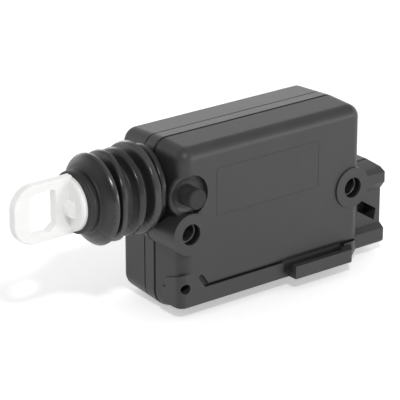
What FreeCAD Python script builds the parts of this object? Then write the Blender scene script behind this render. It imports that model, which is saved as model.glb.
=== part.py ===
import FreeCAD, Part
import math
import os

# Door latch actuator: a two-part moulded housing with a motor, a reduction gear
# and a toothed slider that pulls a nylon eye through a rubber boot.
# Lengths are in millimetres. X runs along the plunger, towards the connector.
# Y runs from the front face to the mounting face at the rear, Z is up.
# The halves meet on the plane Y = 0. The finished solids are moved so that the
# origin is the left mounting bore's axis on the rear mounting face.

V = FreeCAD.Vector
os.makedirs("parts", exist_ok=True)

# Housing; its length follows from the mounting bores further down
body_height = 51.65
body_bottom = -3.65
front_depth = 12.3
rear_depth = 15.7
wall = 2.0
top_corner_r = 4.2
bottom_corner_r = 5.8
front_side_draft = 0.5
front_top_draft = 0.5
front_floor_rise = 3.4
rear_side_draft = 0.2
rear_top_draft = 0.9
rear_floor_rise = 1.6
front_edge_r = 3.6
rear_edge_r = 2.0
seam_chamfer = 0.35
rim_height = 4.75
rim_line = 0.4

# Mounting bores with steel bushes
bore_x = 3.4
bore_spacing = 60.0
right_margin = 4.1
bore_drop = 12.2
bush_r = 3.1
bush_wall = 0.5
bush_recess = 1.8
bush_proud = 0.2
boss_r = 6.2
boss_proud = 0.5
inner_boss_r = 4.8

# Locating peg in its dished seat, and the corner post with its small hole
peg_x = 3.5
peg_rise = 11.4
peg_r = 3.0
peg_tip = 15.8
seat_r = 6.1
seat_depth = 1.7
seat_flange = 1.0
seat_dish = 0.5
post_width = 6.6
post_height = 8.1
post_rise = 2.4
post_round = 2.4
post_depth = 6.9
post_out = 0.3
pin_hole_r = 1.5
pin_hole_x = 1.9
pin_hole_z = 6.1
pin_hole_depth = 6.0

# Strip along the bottom of the front face, with its groove and J rail
strip_bottom = 0.3
strip_height = 4.8
strip_inset = 3.5
strip_back = 4.0
groove_height = 2.0
groove_depth = 1.2
groove_start = 8.8
hook_r = 0.8
hook_reach = 2.6
rail_inset = 3.0
rail_length = 21.5
rail_reach = 3.5
rail_lip = 1.8
rail_web = 1.5
rail_height = 4.0
rail_lift = 0.2
pocket_lead = 1.7
pocket_depth = 1.2
pocket_backing = 1.6

# Plunger and its guide
rod_y = 2.2
rod_r = 4.5
rod_fit = 0.05
rod_step = 2.0
rod_end_r = 3.4
eye_end = -46.5
eye_height = 17.1
eye_thick = 2.8
eye_corner_r = 6.5
window_left = -41.5
window_width = 8.6
window_height = 12.0
window_chamfer = 1.6
shoulder_x = -26.7
shoulder_r = 7.85
shoulder_thick = 1.7
neck_r = 6.0
neck_width = 2.5
flange_r = 7.3
flange_width = 1.6
lug_r = 2.3
lug_reach = 3.0
guide_r = 7.2
guide_out = 5.0
guide_flange_r = 9.0
guide_flange = 1.2
buffer_gap = 0.3
front_buffer_thick = 2.76
rear_buffer_thick = 4.5
stud_r = 2.5
seat_fit = 0.03

# Rubber boot: crest and valley radii of its folds
boot_wall = 1.3
boot_collar_r = 9.5
boot_collar_width = 2.6
boot_cone_r = 12.7
boot_cone_x = -19.6
boot_band = 1.7
boot_valley_r = 9.7
boot_crest_r = 13.2
boot_crests = ((-15.0, 0.4, 12.6), (-10.4, 1.3, 12.3), (-5.7, 1.2, boot_crest_r), (-2.2, 0.5, 11.2))
boot_end = -0.35
boot_cuff_r = 8.7
boot_clear = 0.8

# Gear train
pinion_module = 0.9
pinion_teeth = 12
pinion_shift = 0.3
wheel_module = 0.6
wheel_teeth = 30
drive_teeth = 10
drive_shift = 0.4
pressure_angle = math.radians(20.0)
rack_backlash = 0.10
gear_backlash = 0.08
axle_r = 1.25
axle_fit = 0.05
wheel_thick = 3.0
wheel_under = 0.9
pinion_over = 1.1
gear_gap = 0.4
hub_gap = 0.8
shelf_thick = 2.6
shelf_half = 4.0
shelf_edge = 1.0
wheel_recess_r = 7.1
wheel_recess = 1.0

# Toothed slider
slider_height = 5.8
slider_bar = 2.4
slider_end_wall = 2.0
slider_run = 0.7
slot_clear = 0.4
rail_clear = 0.15

# Motor
motor_r = 10.05
motor_flat = 7.6
motor_skin = 0.7
motor_floor = 2.85
foot_gap = 0.2
foot_at = 5.0
cap_thick = 3.0
shelf_over_can = 0.4
nose_r = 3.0
nose_height = 1.5
shaft_r = 1.0
drive_gear_thick = 3.2
shaft_under = 0.6
magnet_thick = 1.9
magnet_inset = 4.6
magnet_half = 6.0
rotor_r = 6.8
rotor_low = 5.0
rotor_high = 4.4
coil_half = 1.8
coil_out = 5.1
commutator_r = 2.6
commutator_length = 3.0
brush_low = 1.0
brush_half = 1.0
brush_height = 2.0
brush_out = 6.4

# Connector
socket_length = 12.5
socket_bottom = -0.2
socket_over_bore = 1.7
socket_front = 8.5
socket_rear = 10.0
socket_wall = 1.6
socket_floor = 2.5
channel_low = 5.9
channel_drop = 5.7
channel_front = 6.6
channel_slope = 1.4
channel_rise = 2.5
flank_rib = 1.4
latch_inset = 1.6
latch_run = 7.6
latch_high = 10.6
latch_height = 3.6
latch_lean = 0.645
latch_skew = 0.7
latch_depth = 5.0
cavity_drop = 3.2
key_slot = 1.9

# Terminals and contact board
blade_count = 5
blade_foot = 2.1
blade_head = 0.7
blade_gap = 0.8
blade_thick = 0.8
blade_y = 4.8
blade_recess = 1.7
neck_half = 1.4
neck_reach = 1.6
block_half = 3.4
block_thick = 1.8
tail_inset = 5.2
tail_half = 0.8
board_thick = 1.2
board_gap = 0.5
board_left = 7.5
board_leg_width = 7.6
contact_room = 1.48
track_thick = 0.2
track_half = 0.9
track_low = 1.7
track_high = 1.3
wiper_thick = 0.25
wiper_start = 3.0
wiper_pad = 5.0
wiper_bend = 11.0
wiper_reach = 13.0
finger_half = 0.7
tab_half = 1.2
tab_at = 4.5
tab_thick = 0.6

# Values that follow from the driving sizes
body_length = bore_x + bore_spacing + right_margin
body_top = body_bottom + body_height
front_lean = (front_side_draft, front_top_draft, front_floor_rise)
rear_lean = (rear_side_draft, rear_top_draft, rear_floor_rise)
inner_front = front_depth - wall
inner_rear = rear_depth - wall
right_bore_x = bore_x + bore_spacing
bush_bore_r = bush_r - bush_wall
mount_face = rear_depth + bush_proud
rod_z = body_top - boot_crest_r
bore_z = rod_z - bore_drop
peg_z = bore_z + peg_rise
eye_front = rod_y - eye_thick / 2.0
strip_end = body_length - strip_inset
rail_end = strip_end - rail_inset
rail_start = rail_end - rail_length
pocket_start = rail_start - pocket_lead

# The stroke is the room that the buffers and the slider's ends leave
pinion_pitch_r = pinion_module * pinion_teeth / 2.0
pinion_tip_r = pinion_pitch_r + pinion_module * (1.0 + pinion_shift) - 0.05
slider_half = pinion_tip_r + slider_run + slider_end_wall
stop_front = wall + guide_flange + front_buffer_thick + buffer_gap
stop_rear = body_length - wall - rear_buffer_thick - buffer_gap
travel = (stop_rear - stop_front) / 2.0 - slider_half
gear_x = stop_front + travel + slider_half
slot_left = gear_x - pinion_tip_r - slider_run
slot_right = gear_x + pinion_tip_r + slider_run + travel
slider_left = slot_left - slider_end_wall
slider_right = slot_right + slider_end_wall

# From the rear wall forwards: board, contacts, slider, gears
board_back = inner_rear - board_gap
board_front = board_back - board_thick
slider_back = board_front - contact_room
slider_slot_back = slider_back - slider_bar
gear_y = slider_slot_back - slot_clear - pinion_tip_r
rack_line = gear_y - pinion_pitch_r
slider_front = rack_line - pinion_module - slider_bar - slot_clear

# Heights of the slider, the gears and the motor
slider_bottom = rod_z - slider_height / 2.0
wheel_bottom = slider_bottom - wheel_under - wheel_thick
pinion_top = slider_bottom + slider_height + pinion_over
motor_x = gear_x + wheel_module * (wheel_teeth + drive_teeth) / 2.0
motor_z = body_bottom + wall + motor_floor
can_bottom = motor_z + cap_thick
can_top = wheel_bottom - gear_gap - shelf_thick - shelf_over_can
rotor_length = can_top - can_bottom - rotor_low - rotor_high

# Connector and its blades, below the right bore's inner boss
mouth_x = body_length + socket_length
socket_top = bore_z + socket_over_bore
cavity_top = bore_z - cavity_drop
channel_high = bore_z - channel_drop
socket_floor_x = body_length + socket_floor
blade_tip_x = mouth_x - blade_recess
tail_x = body_length - tail_inset
board_leg = tail_x - board_leg_width
blade_pitch = (bore_z - inner_boss_r - blade_head - blade_foot) / blade_count
blade_width = blade_pitch - blade_gap
blade_first_z = blade_foot + blade_pitch / 2.0


def box(x0, x1, y0, y1, z0, z1):
    return Part.makeBox(x1 - x0, y1 - y0, z1 - z0, V(x0, y0, z0))


def along_x(r, x0, x1, y, z):
    return Part.makeCylinder(r, x1 - x0, V(x0, y, z), V(1, 0, 0))


def along_y(r, y0, y1, x, z):
    return Part.makeCylinder(r, y1 - y0, V(x, y0, z), V(0, 1, 0))


def along_z(r, z0, z1, x, y):
    return Part.makeCylinder(r, z1 - z0, V(x, y, z0), V(0, 0, 1))


def prism(points, reach):
    """A closed outline of straight sides, pushed along the vector reach."""
    wire = Part.makePolygon([*points, points[0]])
    return Part.Face(wire).extrude(reach)


def ring_x(profile, y, z):
    """A profile of (x, radius) points turned about the line along X at y, z."""
    points = [V(x, y, z + r) for x, r in profile]
    face = Part.Face(Part.makePolygon([*points, points[0]]))
    return face.revolve(V(0, y, z), V(1, 0, 0), 360)


def outline(inset, y, lean=(0.0, 0.0, 0.0)):
    """The housing's side view, drawn in by inset, and by lean at sides, top and floor."""
    side, top, floor = lean
    x0 = inset + side
    x1 = body_length - inset - side
    z0 = body_bottom + inset + floor
    z1 = body_top - inset - top
    top_r = max(top_corner_r - inset - side, 0.5)
    low_r = max(bottom_corner_r - inset - floor / 2.0, 0.5)
    turn = math.sqrt(0.5)

    def corner(cx, cz, r, a, b, mid):
        start = V(cx + r * a[0], y, cz + r * a[1])
        middle = V(cx + r * mid[0] * turn, y, cz + r * mid[1] * turn)
        end = V(cx + r * b[0], y, cz + r * b[1])
        return start, middle, end

    arcs = [
        corner(x0 + low_r, z0 + low_r, low_r, (-1, 0), (0, -1), (-1, -1)),
        corner(x1 - low_r, z0 + low_r, low_r, (0, -1), (1, 0), (1, -1)),
        corner(x1 - top_r, z1 - top_r, top_r, (1, 0), (0, 1), (1, 1)),
        corner(x0 + top_r, z1 - top_r, top_r, (0, 1), (-1, 0), (-1, 1)),
    ]
    edges = []
    for i, (start, middle, end) in enumerate(arcs):
        edges.append(Part.Arc(start, middle, end).toShape())
        edges.append(Part.LineSegment(end, arcs[(i + 1) % 4][0]).toShape())
    return Part.Wire(edges)


def slab(inset, y0, y1, lean=(0.0, 0.0, 0.0)):
    """The housing's outline as a straight prism."""
    return Part.Face(outline(inset, y0, lean)).extrude(V(0, y1 - y0, 0))


def room(end, rise):
    """The space inside a half, whose floor rises with the outer floor."""
    return Part.makeLoft([outline(wall, 0.0), outline(wall, end, (0.0, 0.0, rise))], True, True)


def fillet_at(shape, radius, test):
    """Round the edges whose every end and middle pass the test."""
    edges = [e for e in shape.Edges if test(e)]
    return shape.makeFillet(radius, edges)


def lies_at_y(edge, y):
    box_of = edge.BoundBox
    return abs(box_of.YMin - y) < 1e-4 and abs(box_of.YMax - y) < 1e-4


def seam_bevel():
    """A thin ring that bevels both halves' outer edges where they meet."""
    outer = slab(-1.0, -seam_chamfer, seam_chamfer)
    inner = Part.makeLoft([outline(0.0, -seam_chamfer), outline(seam_chamfer, 0.0)], True, True)
    inner = inner.fuse(Part.makeLoft([outline(seam_chamfer, 0.0), outline(0.0, seam_chamfer)], True, True))
    return outer.cut(inner)


def involute(angle):
    return math.tan(angle) - angle


def gear(module, teeth, shift, backlash, z0, z1, x, y, first_tooth):
    """A spur gear with involute flanks; first_tooth is one tooth's direction."""
    pitch_r = module * teeth / 2.0
    base_r = pitch_r * math.cos(pressure_angle)
    tip_r = pitch_r + module * (1.0 + shift) - 0.05
    root_r = pitch_r - module * (1.25 - shift)
    thick = module * (math.pi / 2.0 + 2.0 * shift * math.tan(pressure_angle)) - backlash / 2.0
    start_r = max(base_r, root_r)

    def half_angle(r):
        at_r = math.acos(min(1.0, base_r / r))
        return thick / (2.0 * pitch_r) + involute(pressure_angle) - involute(at_r)

    def spot(r, angle):
        return V(x + r * math.cos(angle), y + r * math.sin(angle), z0)

    middle_r = (start_r + tip_r) / 2.0
    edges = []
    for k in range(teeth):
        centre = first_tooth + 2.0 * math.pi * k / teeth
        gap = centre + math.pi / teeth
        after = centre + 2.0 * math.pi / teeth
        low = half_angle(start_r)
        mid = half_angle(middle_r)
        top = half_angle(tip_r)
        if root_r < start_r - 1e-6:
            foot = Part.LineSegment(spot(root_r, centre - low), spot(start_r, centre - low))
            edges.append(foot.toShape())
        rise = Part.Arc(spot(start_r, centre - low), spot(middle_r, centre - mid), spot(tip_r, centre - top))
        edges.append(rise.toShape())
        land = Part.Arc(spot(tip_r, centre - top), spot(tip_r, centre), spot(tip_r, centre + top))
        edges.append(land.toShape())
        fall = Part.Arc(spot(tip_r, centre + top), spot(middle_r, centre + mid), spot(start_r, centre + low))
        edges.append(fall.toShape())
        if root_r < start_r - 1e-6:
            foot = Part.LineSegment(spot(start_r, centre + low), spot(root_r, centre + low))
            edges.append(foot.toShape())
        valley = Part.Arc(spot(root_r, centre + low), spot(root_r, gap), spot(root_r, after - low))
        edges.append(valley.toShape())
    return Part.Face(Part.Wire(edges)).extrude(V(0, 0, z1 - z0))


def boot_space():
    """The room that the boot needs outside the housing's left wall."""
    radius = boot_crests[-1][2] + boot_clear
    return along_x(radius, -8.0, 0.0, rod_y, rod_z)


def socket_profile():
    """The connector's section in the YZ plane, ahead of the seam."""
    return [
        (0.0, socket_bottom),
        (-socket_front + 0.8, socket_bottom),
        (-socket_front, socket_bottom + 0.8),
        (-socket_front, channel_low - channel_slope),
        (-channel_front, channel_low),
        (-channel_front, channel_high),
        (-socket_front, channel_high + channel_rise),
        (-socket_front, socket_top - 1.7),
        (-socket_front + 2.2, socket_top - 0.6),
        (0.0, socket_top),
    ]


def socket_front_half():
    behind = body_length - wall
    block = prism([V(behind, y, z) for y, z in socket_profile()], V(mouth_x - behind, 0, 0))
    rib_x = body_length + flank_rib
    rib = box(behind, rib_x, -socket_front + 0.3, 0.0, channel_low - channel_slope, channel_high)
    front = -socket_front + 0.3
    arris = [e for e in rib.Edges if e.BoundBox.XMin > rib_x - 0.1 and e.BoundBox.YMax < front + 0.1]
    rib = rib.makeFillet(0.6, [e for e in arris if e.BoundBox.ZLength > 5.0])
    return block.fuse(rib)


def latch_window():
    """The slanted pocket in the channel's wall that the plug's latch snaps into."""
    right = mouth_x - latch_inset
    left = right - latch_run
    low = latch_high - latch_height
    corners = [
        (right, latch_high),
        (right - latch_skew, low),
        (left, low + latch_lean * (latch_run - latch_skew)),
        (left, latch_high + latch_lean * latch_run),
    ]
    start = -channel_front - 1.0
    return prism([V(x, start, z) for x, z in corners], V(0, latch_depth + 1.0, 0))


def socket_cavities():
    """The rooms for the plug, the key slot above it and the lobe at its front foot."""
    front = -socket_front + socket_wall
    back = socket_rear - socket_wall
    low = socket_bottom + socket_wall
    x0 = socket_floor_x
    x1 = mouth_x + 1.0
    main = box(x0, x1, 0.0, back, low, cavity_top)
    key_low = cavity_top + socket_wall
    key = box(x0, x1, front + 0.6, back, key_low, key_low + key_slot)
    lobe = box(x0, x1, front, 0.0, low, channel_low - channel_slope - 0.4)
    return main.fuse([key, lobe])


def socket_rear_half():
    behind = body_length - wall
    block = box(behind, mouth_x, 0.0, socket_rear, socket_bottom, socket_top)
    return fillet_at(block, 1.6, lambda e: lies_at_y(e, socket_rear) and e.BoundBox.XLength > 1.0)


def strip_and_rail():
    """The strip with the corner post, the groove above it and the J rail below."""
    front = -front_depth
    foot = strip_bottom
    slant = [
        V(-post_out, front, foot),
        V(strip_end, front, foot),
        V(strip_end + 5.0, -socket_front, foot),
        V(strip_end + 5.0, -strip_back, foot),
        V(-post_out, -strip_back, foot),
    ]
    strip = prism(slant, V(0, 0, strip_height))
    strip_top = foot + strip_height
    trim = box(strip_end + 3.6, strip_end + 6.0, front, 0.0, channel_low - channel_slope, strip_top + 1.0)
    strip = strip.cut(trim)
    post_outline = [
        V(-post_out, front, foot),
        V(-post_out, front, post_height + post_rise),
        V(-post_out, front + post_depth, post_height),
        V(-post_out, front + post_depth, foot),
    ]
    post = prism(post_outline, V(post_width + post_out, 0, 0))
    round_x = post_round - post_out
    round_y = front + post_round
    corner = box(-post_out - 1.0, round_x, front - 1.0, round_y, foot - 1.0, foot + 20.0)
    corner = corner.cut(along_z(post_round, foot - 2.0, foot + 21.0, round_x, round_y))
    tip = front - rail_reach
    rail_low = foot + rail_lift
    web = box(rail_start, rail_end, tip, front + 1.0, rail_low, rail_low + rail_web)
    lip = box(rail_start, rail_end, tip, tip + rail_lip, rail_low, rail_low + rail_height)
    gusset_outline = [
        V(rail_end - 2.0, tip, rail_low),
        V(rail_end, tip, rail_low),
        V(strip_end, front + 0.5, rail_low),
        V(rail_end - 2.0, front + 0.5, rail_low),
    ]
    gusset = prism(gusset_outline, V(0, 0, rail_height))
    return strip.fuse([post, web, lip, gusset]).cut(corner)


def groove_cut():
    """The groove between the front face's rounded lower edge and the strip."""
    front = -front_depth
    low = strip_bottom + strip_height
    high = low + groove_height
    bend = V(groove_start, front + 0.3 * groove_depth, high - 0.65 * groove_height)
    lines = [
        Part.LineSegment(V(groove_start, front - 1.0, high), V(groove_start, front, high)),
        Part.Arc(V(groove_start, front, high), bend, V(groove_start, front + groove_depth, low)),
        Part.LineSegment(V(groove_start, front + groove_depth, low), V(groove_start, front - 1.0, low)),
        Part.LineSegment(V(groove_start, front - 1.0, low), V(groove_start, front - 1.0, high)),
    ]
    run = Part.Face(Part.Wire([line.toShape() for line in lines])).extrude(V(body_length, 0, 0))
    foot = V(groove_start + 0.3, front, low + hook_r)
    hook_top = foot + V(-0.7 * hook_reach, 0, hook_reach)
    hook_way = hook_top - foot
    hook = Part.makeCylinder(hook_r, hook_way.Length, foot, hook_way)
    return run.fuse([hook, Part.makeSphere(hook_r, hook_top), Part.makeSphere(hook_r, foot)])


def front_housing():
    front = -front_depth
    shell = Part.makeLoft([outline(0.0, 0.0), outline(0.0, front, front_lean)], True, True)
    shell = fillet_at(shell, front_edge_r, lambda e: lies_at_y(e, front))
    shell = shell.fuse([strip_and_rail(), socket_front_half()])
    bosses = [
        along_y(boss_r, front - boss_proud, 0.0, bore_x, bore_z),
        along_y(boss_r, front - boss_proud, 0.0, right_bore_x, bore_z),
        along_y(seat_r, -front_depth + seat_depth, -front_depth + seat_depth + seat_flange, peg_x, peg_z),
    ]
    shell = shell.fuse(bosses)
    shell = shell.cut(boot_space())
    cavity = room(-inner_front, front_floor_rise * inner_front / front_depth)
    backing = [
        along_y(seat_r + 1.4, -inner_front, -inner_front + wall, peg_x, peg_z),
        box(pocket_start - 1.5, rail_end + 1.5, -inner_front, -inner_front + pocket_backing, 0.0, 8.5),
        along_y(inner_boss_r, -inner_front, 0.0, bore_x, bore_z),
        along_y(inner_boss_r, -inner_front, 0.0, right_bore_x, bore_z),
        box(-post_out, post_width, -inner_front, -inner_front + 5.0, body_bottom, post_height + 0.8),
    ]
    for part in backing:
        cavity = cavity.cut(part)
    shell = shell.cut(cavity)
    shell = shell.fuse(front_inner_ribs())
    seat = along_y(seat_r + 0.01, front - 2.0, front + seat_depth, peg_x, peg_z)
    left_face = along_y(boss_r, front - boss_proud, front + seat_depth + 0.5, bore_x, bore_z)
    shell = shell.cut(seat.cut(left_face))
    dish_at = V(peg_x, front + seat_depth, peg_z)
    dish = Part.makeCone(seat_r - 0.8, seat_r - 2.2, seat_dish, dish_at, V(0, 1, 0))
    dish = dish.cut(left_face)
    peg = along_y(peg_r, -peg_tip, front + seat_depth + seat_dish + 0.2, peg_x, peg_z)
    peg = peg.makeChamfer(0.4, [e for e in peg.Edges if lies_at_y(e, -peg_tip)])
    shell = shell.cut(dish).fuse(peg)
    pocket_low = strip_bottom + rail_lift + rail_web
    pocket_high = strip_bottom + strip_height + 0.5
    pocket = box(pocket_start, rail_end, front - 0.2, front + pocket_depth, pocket_low, pocket_high)
    cuts = [
        groove_cut(),
        pocket,
        along_y(bush_r + seat_fit, front - 2.0, 1.0, bore_x, bore_z),
        along_y(bush_r + seat_fit, front - 2.0, 1.0, right_bore_x, bore_z),
        along_y(pin_hole_r, front - 1.0, front + pin_hole_depth, pin_hole_x, pin_hole_z),
        along_x(guide_r + seat_fit, -6.0, wall + 0.5, rod_y, rod_z),
        along_x(guide_flange_r + seat_fit, wall, wall + guide_flange, rod_y, rod_z),
        socket_cavities(),
        latch_window(),
        seam_bevel(),
    ]
    return shell.cut(cuts)


def shelf(z):
    right = gear_x + axle_r + shelf_edge
    return box(gear_x - shelf_half, right, -inner_front, gear_y + shelf_half, z, z + shelf_thick)


def front_inner_ribs():
    """Ribs on the front wall: two gear shelves, the motor cradle, the slider rail."""
    upper = shelf(pinion_top + hub_gap)
    lower = shelf(wheel_bottom - gear_gap - shelf_thick)
    cradle = []
    for z in (can_bottom + 4.0, can_top - 5.0):
        cradle.append(box(motor_x - 8.0, motor_x + 8.0, -inner_front, gear_y - motor_flat, z, z + 1.6))
    rail_left = slider_left - travel + 6.0
    rail_face = slider_front - rail_clear
    rail = box(rail_left, slider_right - 2.0, -inner_front, rail_face, rod_z - 1.0, rod_z + 1.0)
    axle_holes = along_z(axle_r + seat_fit, wheel_bottom - 10.0, pinion_top + 10.0, gear_x, gear_y)
    ribs = upper.fuse(lower).cut(axle_holes)
    return [ribs, *cradle, rail]


def rear_cover():
    shell = Part.makeLoft([outline(0.0, 0.0), outline(0.0, rear_depth, rear_lean)], True, True)
    shell = fillet_at(shell, rear_edge_r, lambda e: lies_at_y(e, rear_depth))
    line = slab(-1.0, rim_height - rim_line / 2.0, rim_height + rim_line / 2.0)
    at_rim = [lean * rim_height / rear_depth for lean in rear_lean]
    line = line.cut(slab(rim_line, rim_height - 1.0, rim_height + 1.0, at_rim))
    shell = shell.cut(line)
    shell = shell.fuse(socket_rear_half())
    bosses = [
        along_y(boss_r, 0.0, rear_depth, bore_x, bore_z),
        along_y(boss_r, 0.0, rear_depth, right_bore_x, bore_z),
    ]
    shell = shell.fuse(bosses)
    shell = shell.cut(boot_space())
    cavity = room(inner_rear, rear_floor_rise * inner_rear / rear_depth)
    cavity = cavity.cut(along_y(inner_boss_r, 0.0, inner_rear, bore_x, bore_z))
    cavity = cavity.cut(along_y(inner_boss_r, 0.0, inner_rear, right_bore_x, bore_z))
    shell = shell.cut(cavity).fuse(rear_inner_ribs())
    wall_x = body_length - wall
    neck_low = blade_first_z - blade_pitch / 2.0
    neck_high = blade_first_z + blade_pitch * (blade_count - 0.5)
    cuts = [
        along_y(bush_r + seat_fit, -1.0, rear_depth + 1.0, bore_x, bore_z),
        along_y(bush_r + seat_fit, -1.0, rear_depth + 1.0, right_bore_x, bore_z),
        along_x(guide_r + seat_fit, -6.0, wall + 0.5, rod_y, rod_z),
        along_x(guide_flange_r + seat_fit, wall, wall + guide_flange, rod_y, rod_z),
        socket_cavities(),
        box(wall_x - 1.0, socket_floor_x + 0.1, blade_y - 1.5, blade_y + 1.5, neck_low, neck_high),
        seal_ring(0.0),
        seam_bevel(),
    ]
    return shell.cut(cuts)


def rear_inner_ribs():
    """Motor ribs, the shelf under the slider and the pads of the contact board."""
    ribs = []
    for z in (can_bottom + 4.6, can_top - 5.0):
        ribs.append(box(motor_x - 7.6, motor_x + 7.6, gear_y + motor_flat, inner_rear, z, z + 1.6))
    for x in (motor_x - foot_at, motor_x + foot_at):
        ribs.append(box(x - 0.8, x + 0.8, 0.0, inner_rear, body_bottom + wall / 2.0, motor_z - foot_gap))
    low = slider_bottom - 2.2
    ribs.append(box(gear_x + 11.0, board_leg - 0.4, slider_slot_back + 0.5, inner_rear, low, low + 2.0))
    for x, z in board_pads():
        ribs.append(along_y(1.6, board_back, inner_rear, x, z))
    return ribs


def board_pads():
    return ((board_left + 3.0, rod_z + 3.4), (tail_x - 3.5, rod_z + 3.4), (motor_x, motor_z + 3.6))


def seal_ring(clear):
    """A cord laid in the middle of the wall, on the rear half's rim."""
    middle = wall / 2.0
    outer = slab(middle - 0.4 + clear, 0.0, 0.8 - clear)
    inner = slab(middle + 0.4 - clear, 0.0, 0.8 - clear)
    ring = outer.cut(inner)
    ring = ring.cut(along_x(guide_r + 0.8, -1.0, wall + 1.0, rod_y, rod_z))
    for x in (bore_x, right_bore_x):
        ring = ring.cut(along_y(bush_r + 0.8, -1.0, 2.0, x, bore_z))
    return ring


def mount_bush(x):
    start = -front_depth + bush_recess
    tube = along_y(bush_r, start, mount_face, x, bore_z)
    return tube.cut(along_y(bush_bore_r, start - 1.0, mount_face + 1.0, x, bore_z))


def plunger_guide():
    neck = along_x(guide_r, -guide_out, wall, rod_y, rod_z)
    flange = along_x(guide_flange_r, wall, wall + guide_flange, rod_y, rod_z)
    keep = box(-20.0, 20.0, -40.0, 40.0, bore_z + inner_boss_r + 0.1, 80.0)
    lead = Part.makeCone(rod_r + 0.9, rod_r + rod_fit, 0.9, V(-guide_out, rod_y, rod_z), V(1, 0, 0))
    bore = along_x(rod_r + rod_fit, -guide_out - 1.0, wall + guide_flange + 1.0, rod_y, rod_z)
    return neck.fuse(flange.common(keep)).cut([bore, lead])


def front_buffer():
    start = wall + guide_flange
    end = stop_front - buffer_gap
    ring = along_x(rod_r + 2.6, start, end, rod_y, rod_z)
    return ring.cut(along_x(rod_r + 0.3, start - 1.0, end + 1.0, rod_y, rod_z))


def rear_buffer():
    start = stop_rear + buffer_gap
    low = slider_bottom + 0.6
    high = slider_bottom + slider_height - 0.6
    block = box(start, body_length - wall, rod_y - 3.2, rod_y + 3.2, low, high)
    return fillet_at(block, 0.8, lambda e: e.BoundBox.YLength > 6.0 and e.BoundBox.XMax < start + 0.1)


def boot_profile():
    """Outer line of the boot as (x, radius) points, from the collar to the cuff."""
    collar_x = shoulder_x + boot_collar_width
    line = [
        (shoulder_x + 0.05, boot_collar_r - 0.7),
        (shoulder_x + 0.75, boot_collar_r),
        (collar_x - 0.4, boot_collar_r),
        (collar_x, boot_collar_r - 0.5),
        (collar_x + 0.3, boot_collar_r - 0.3),
        (boot_cone_x, boot_cone_r),
        (boot_cone_x + boot_band, boot_cone_r),
    ]
    last = boot_cone_x + boot_band
    for crest_x, crest_width, crest_r in boot_crests:
        start = crest_x - crest_width / 2.0
        valley = (last + start) / 2.0
        line.append((valley, boot_valley_r))
        line.append((start, crest_r))
        line.append((crest_x + crest_width / 2.0, crest_r))
        last = crest_x + crest_width / 2.0
    line.append((boot_end - 0.5, boot_cuff_r))
    line.append((boot_end, boot_cuff_r))
    return line


def boot():
    outer = boot_profile()
    lip_r = neck_r + 0.1
    inner = [(boot_end, guide_r + 0.1), (boot_end - 3.0, guide_r + 0.1)]
    for x, r in reversed(outer[5:-3]):
        if x < boot_end - 3.0:
            inner.append((x, r - boot_wall))
    lip_x = shoulder_x + neck_width - 0.15
    inner.append((lip_x, outer[4][1] - boot_wall))
    inner.append((lip_x, lip_r))
    inner.append((shoulder_x + 0.05, lip_r))
    return ring_x([*outer, *inner], rod_y, rod_z)


def eye_plate():
    low = rod_z - eye_height / 2.0
    high = rod_z + eye_height / 2.0
    plate = box(eye_end, shoulder_x - 0.6, eye_front, eye_front + eye_thick, low, high)
    outer_corners = [e for e in plate.Edges if e.BoundBox.XMax < eye_end + 0.1]
    outer_corners = [e for e in outer_corners if e.BoundBox.YLength > 1.0]
    plate = plate.makeFillet(eye_corner_r, outer_corners)
    rims = [e for e in plate.Edges if abs(e.BoundBox.YLength) < 1e-4]
    plate = plate.makeFillet(0.45, [e for e in rims if e.BoundBox.XMin < shoulder_x - 2.0])
    right = window_left + window_width
    top = rod_z + window_height / 2.0
    bottom = rod_z - window_height / 2.0
    cut = window_chamfer
    hole = [
        (window_left, bottom + 0.6),
        (window_left + 0.6, bottom),
        (right - cut * 1.4, bottom),
        (right, bottom + cut),
        (right, top - 0.6),
        (right - 0.6, top),
        (window_left + cut * 1.4, top),
        (window_left, top - cut),
    ]
    window = prism([V(x, eye_front - 1.0, z) for x, z in hole], V(0, eye_thick + 2.0, 0))
    return plate.cut(window)


def plunger_eye():
    flange_x = shoulder_x + neck_width
    profile = [
        (shoulder_x - shoulder_thick, 0.0),
        (shoulder_x - shoulder_thick, shoulder_r - 0.5),
        (shoulder_x - shoulder_thick + 0.5, shoulder_r),
        (shoulder_x, shoulder_r),
        (shoulder_x, neck_r),
        (flange_x, neck_r),
        (flange_x, flange_r),
        (flange_x + flange_width * 0.4, flange_r),
        (flange_x + flange_width, rod_r),
        (slider_left - rod_step, rod_r),
        (slider_left - rod_step, rod_end_r),
        (slider_left, rod_end_r),
        (slider_left, stud_r),
        (slider_left + slider_end_wall, stud_r),
        (slider_left + slider_end_wall, 0.0),
    ]
    turned = ring_x(profile, rod_y, rod_z)
    lug_x = shoulder_x - shoulder_thick - 0.2
    lug = along_y(lug_r, eye_front - lug_reach, eye_front + 0.5, lug_x, rod_z - 0.5)
    return turned.fuse([eye_plate(), lug])


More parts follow.
